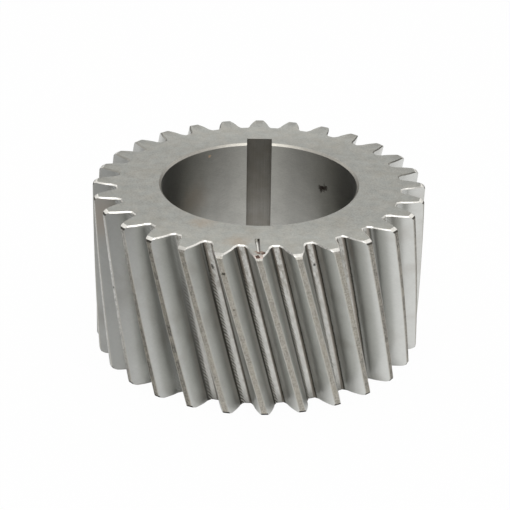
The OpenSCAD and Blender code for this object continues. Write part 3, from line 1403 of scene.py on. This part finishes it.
@dataclass(frozen=True)
class Studio:
    """The camera, the floor and the soft light round the gear, in metres and watts."""

    view: View = View()
    floor_half: float = 4.0
    floor_colour: Colour = (0.88, 0.88, 0.87)
    glow_share: float = 0.975
    light_pool: Fade = Fade(0.12, 0.5, 1.0, 0.22)
    shadow_under_rim: Fade = Fade(0.045, 0.052)
    under_bore: float = 0.03
    shade_to_left: Fade = Fade(-0.07, 0.03, 0.6, 1.0)
    backdrop_lean: float = -0.35
    backdrop_foot: Fade = Fade(0.02, 0.13)
    backdrop: Fade = Fade(0.1, 0.4, 0.0, 1.05)
    ceiling: Fade = Fade(0.5, 0.72, 0.22, 0.8)
    lamp_place: tuple[float, float, float] = (0.0, -0.4, 1.0)
    lamp_size: float = 0.85
    lamp_power: float = 3.4

    @staticmethod
    def turned(first: Vector, second: Vector, angle: float) -> tuple[Vector, Vector]:
        """Turns two square directions in their plane, the first one towards the second."""
        c, s = math.cos(angle), math.sin(angle)
        return first * c + second * s, second * c - first * s

    def camera(self, width: float) -> None:
        """Makes the camera at the photographed view.

        Args:
            width: face width of the gear, in millimetres.
        """
        v = self.view
        elevation = math.radians(v.elevation)
        centre = Vector((0, -math.cos(elevation), math.sin(elevation))) * v.distance
        ahead, right = -centre.normalized(), Vector((1, 0, 0))
        up = right.cross(ahead)
        ahead, right = self.turned(ahead, right, -math.atan(v.aim_right_px / v.focal_px))
        ahead, up = self.turned(ahead, up, math.atan(v.aim_up_px / v.focal_px))
        right, up = self.turned(right, up, math.radians(v.roll))
        place = Matrix((right, up, -ahead)).transposed().to_4x4()
        place.translation = centre
        place = Matrix.Translation((0, 0, width)) @ Matrix.Rotation(math.radians(v.azimuth), 4, "Z") @ place
        place.translation *= MM
        data = bpy.data.cameras.new("photo_view")
        data.sensor_width = v.sensor_mm
        data.lens = v.focal_px / v.frame_px * v.sensor_mm
        data.clip_start = v.clip_start_m
        made = put("photo_view", data)
        made.matrix_world = place
        bpy.context.scene.camera = made

    def floor(self) -> None:
        """Makes the pale floor, which the camera sees as white with a soft shadow; for reflections it glows
        as a painted pool of light that also fills the bore, with a painted shadow under the gear's rim and
        painted shade to the left.
        """
        h = self.floor_half
        mesh = bpy.data.meshes.new("floor")
        mesh.from_pydata([(-h, -h, 0), (h, -h, 0), (h, h, 0), (-h, h, 0)], [], [(0, 1, 2, 3)])
        paint = bpy.data.materials.new("pale_floor")
        paint.cycles.emission_sampling = "NONE"
        paint.use_nodes = True
        paint.node_tree.nodes.clear()
        g = Graph(paint.node_tree)
        place = g.add("TexCoord").outputs["Object"]
        away = g.add("VectorMath", {"operation": "LENGTH"}, Vector=place).outputs["Value"]
        # Painted shadow under the gear's rim in what reflections see; the painted light carries on inside
        # the bore.
        clear = g.most(g.fade(away, self.shadow_under_rim), g.math("LESS_THAN", away, self.under_bore))
        left_shade = g.fade(g.add("SeparateXYZ", Vector=place).outputs[0], self.shade_to_left)
        path = g.add("LightPath").outputs
        mirrored = g.most(path["Is Glossy Ray"], path["Is Transmission Ray"])
        # Painted light: reflections see the floor glow in a pool round the gear, dimmer to the left.
        strength = g.times(g.fade(away, self.light_pool), clear, mirrored, left_shade)
        share = g.times(g.most(strength, path["Is Camera Ray"]), self.glow_share)
        matt = g.add("BsdfDiffuse", Color=self.floor_colour).outputs[0]
        glow = g.add("Emission", Color=WHITE, Strength=1.0).outputs[0]
        mixed = g.feed_all(g.add("MixShader"), _0=share, _1=matt, _2=glow)
        g.add("OutputMaterial", Surface=mixed)
        mesh.materials.append(paint)
        put("floor", mesh)

    def world(self) -> None:
        """Makes the room: a pale backdrop behind the gear, dim walls at the sides and a pale ceiling."""
        world = bpy.data.worlds.new("plain_room")
        bpy.context.scene.world = world
        world.use_nodes = True
        world.node_tree.nodes.clear()
        g = Graph(world.node_tree)
        x, y, z = g.add("SeparateXYZ", Vector=g.add("TexCoord").outputs["Generated"]).outputs
        level = g.math("MULTIPLY_ADD", g.math("ABSOLUTE", x), self.backdrop_lean, z)
        backdrop = g.times(g.fade(level, self.backdrop_foot), g.fade(y, self.backdrop))
        strength = g.most(backdrop, g.fade(z, self.ceiling))
        g.add("OutputWorld", Surface=g.add("Background", Color=WHITE, Strength=strength).outputs[0])

    def lamp(self) -> None:
        """Hangs the soft square lamp, which faces the gear."""
        data = bpy.data.lights.new("overhead_soft_lamp", "AREA")
        data.size = self.lamp_size
        data.energy = self.lamp_power
        made = put("overhead_soft_lamp", data)
        made.location = self.lamp_place
        made.rotation_euler = Vector(self.lamp_place).to_track_quat("Z", "Y").to_euler()


# The gear's finishes and wear


def finishes(gear: GearRing) -> dict[Zone, Finish]:
    """The finish of each zone of the gear.

    Args:
        gear: the gear, whose sizes place the stains.

    Returns:
        The finishes by zone.
    """
    root_r, tip_r, bore_r = gear.teeth.root_r, gear.teeth.tip_r, gear.bore.radius
    next_tooth = 360 / gear.teeth.count

    def on_top(x: float, y: float) -> Vector:
        """A place on the upper face."""
        return Vector((x, y, gear.width))

    def on_wall(radius: float, angle: float, height: float) -> Vector:
        """A place on a round wall, from its radius, its angle in degrees and its height."""
        turn = math.radians(angle)
        return Vector((radius * math.cos(turn), radius * math.sin(turn), height))

    tinted = Stain((0.40, 0.31, 0.22), ((on_top(-16.5, -28.6), 5.0), (on_top(-6.0, -41.0), 5.0)),
                   strength=0.4, softness=0.9, raggedness=0.5)
    rusty = Stain((0.27, 0.165, 0.12), ((on_top(0.2, -47.6), 1.5), (on_top(1.3, -48.3), 1.1)), strength=0.75)
    pinkish = Stain((0.52, 0.43, 0.385), ((on_top(0.1, -49.6), 2.6),),
                    strength=0.9, softness=0.5, raggedness=0.5)
    dulled = Stain((0.42, 0.41, 0.375),
                   tuple((on_wall(tip_r - 0.8, -90.0 - next_tooth * k, gear.width), 2.4) for k in (1, 2)),
                   strength=0.6, softness=0.5, raggedness=0.4)
    warm_flank = Stain((0.45, 0.38, 0.315), ((on_wall(tip_r - 3.0, -165.0, 46.0), 11.0),),
                       strength=0.55, softness=0.9, raggedness=0.3)
    bore_spot = Stain((0.05, 0.035, 0.03), ((on_wall(bore_r, 45.3, 41.2), 1.5),
                                            (on_wall(bore_r, 48.2, 40.5), 1.5)), strength=0.9)
    bore_tint = Stain((0.5, 0.40, 0.31), ((on_wall(bore_r, 136.0, 36.0), 9.0),),
                      strength=0.3, softness=0.9, raggedness=0.4)
    bore_speck = Stain((1.0, 0.76, 0.52), ((on_wall(bore_r, 122.0, 49.9), 0.7),), strength=0.9)
    root_specks = Stain((0.03, 0.027, 0.024), ((on_wall(root_r, -107.7, 44.8), 0.9),
                                               (on_wall(root_r, -68.3, 45.2), 0.6)), strength=0.9)
    tip_specks = Stain((0.04, 0.035, 0.03), ((on_wall(tip_r, -101.0, 46.8), 0.8),
                                             (on_wall(tip_r, -97.6, 35.5), 0.45)), strength=0.9)
    nicks = Stain((0.05, 0.045, 0.04), ((on_wall(tip_r, -147.5, 30.0), 0.6),
                                        (on_wall(tip_r, -29.8, 22.8), 0.5)), strength=0.9)
    flank = (0.6, 0.604, 0.58)
    return {
        Zone.FLANK: GroundFlank("ground_flank", flank, rough=0.32, root_r=root_r, stains=(warm_flank,)),
        Zone.FILLET: ScaledFillet("scaled_fillet", flank, rough=0.4, root_r=root_r),
        Zone.ROOT_LAND: HobbedRoot("hobbed_root", (0.63, 0.625, 0.595), rough=0.42, stains=(root_specks,)),
        Zone.TIP_LAND: TurnedTip("turned_tip", (0.405, 0.386, 0.345), rough=0.55,
                                 stains=(tip_specks, nicks)),
        Zone.TIP_EDGE: CutBevel("worn_tip_edge", (0.5, 0.487, 0.445), rough=0.45, stains=(nicks,)),
        Zone.EDGE_BEVEL: CutBevel("cut_edge_bevel", (0.93, 0.908, 0.853), rough=0.32, painted_shade_share=0.9),
        Zone.TIP_BEVEL: CutBevel("cut_tip_bevel", (0.81, 0.79, 0.74), rough=0.32, stains=(pinkish, dulled)),
        Zone.TIP_LEAD: SteepBevel("turned_steep_bevel", (0.92, 0.89, 0.82), rough=0.68,
                                  tan=(0.9, 0.86, 0.78)),
        Zone.END_FACE: GroundFace("ground_face", (0.35, 0.344, 0.312), rough=0.45, stains=(tinted, rusty)),
        Zone.BORE: HonedBore("honed_bore", (0.54, 0.535, 0.503), rough=0.34,
                             stains=(bore_spot, bore_speck, bore_tint)),
        Zone.BORE_BEVEL: CutBevel("bore_bevel", (0.5, 0.48, 0.43), rough=0.38),
        Zone.KEYWAY: BroachedSlot("broached_keyway", (0.28, 0.27, 0.247), rough=0.36),
        Zone.TIMING_MARK: ScribedGroove("scribed_mark", (0.8, 0.79, 0.74), rough=0.4, mark=gear.mark,
                                        tip_r=tip_r),
        Zone.KNOCK: RustyKnock("rusty_knock", (0.17, 0.105, 0.08), rough=0.75, metallic=0.2),
    }


def knocks(top: float) -> list[Knock]:
    """The small dents that the gear carries, by the height of its upper face."""
    return [Knock((-0.25, -50.2, top - 0.25), (0.6, 0.8, 0.4), turn=10.0, seed=3),
            Knock((1.35, -48.3, top + 0.05), (0.5, 0.85, 0.35), turn=-35.0, seed=5),
            Knock((0.1, -48.2, top + 0.1), (0.45, 0.6, 0.3), turn=20.0, seed=8)]


def main() -> None:
    """Builds the studio and the gear, and reports each piece."""
    logging.basicConfig(level=logging.INFO, format="%(name)s: %(message)s")
    low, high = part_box(NODE)
    width = (high.z - low.z) / MM
    bore_r = next(m["dims"]["r_mm"] for m in frame["record"]["mounts"] if m["name"] == "bore")
    studio = Studio()
    studio.camera(width)
    studio.floor()
    studio.world()
    studio.lamp()
    gear = GearRing(width=width, bore=Bore(radius=bore_r))
    piece = gear.build(finishes(gear), knocks(width))
    LOG.info("%s: %d faces", piece.name, len(piece.data.polygons))
    bpy.context.scene.view_settings.view_transform = "Standard"


if __name__ == "__main__":
    main()
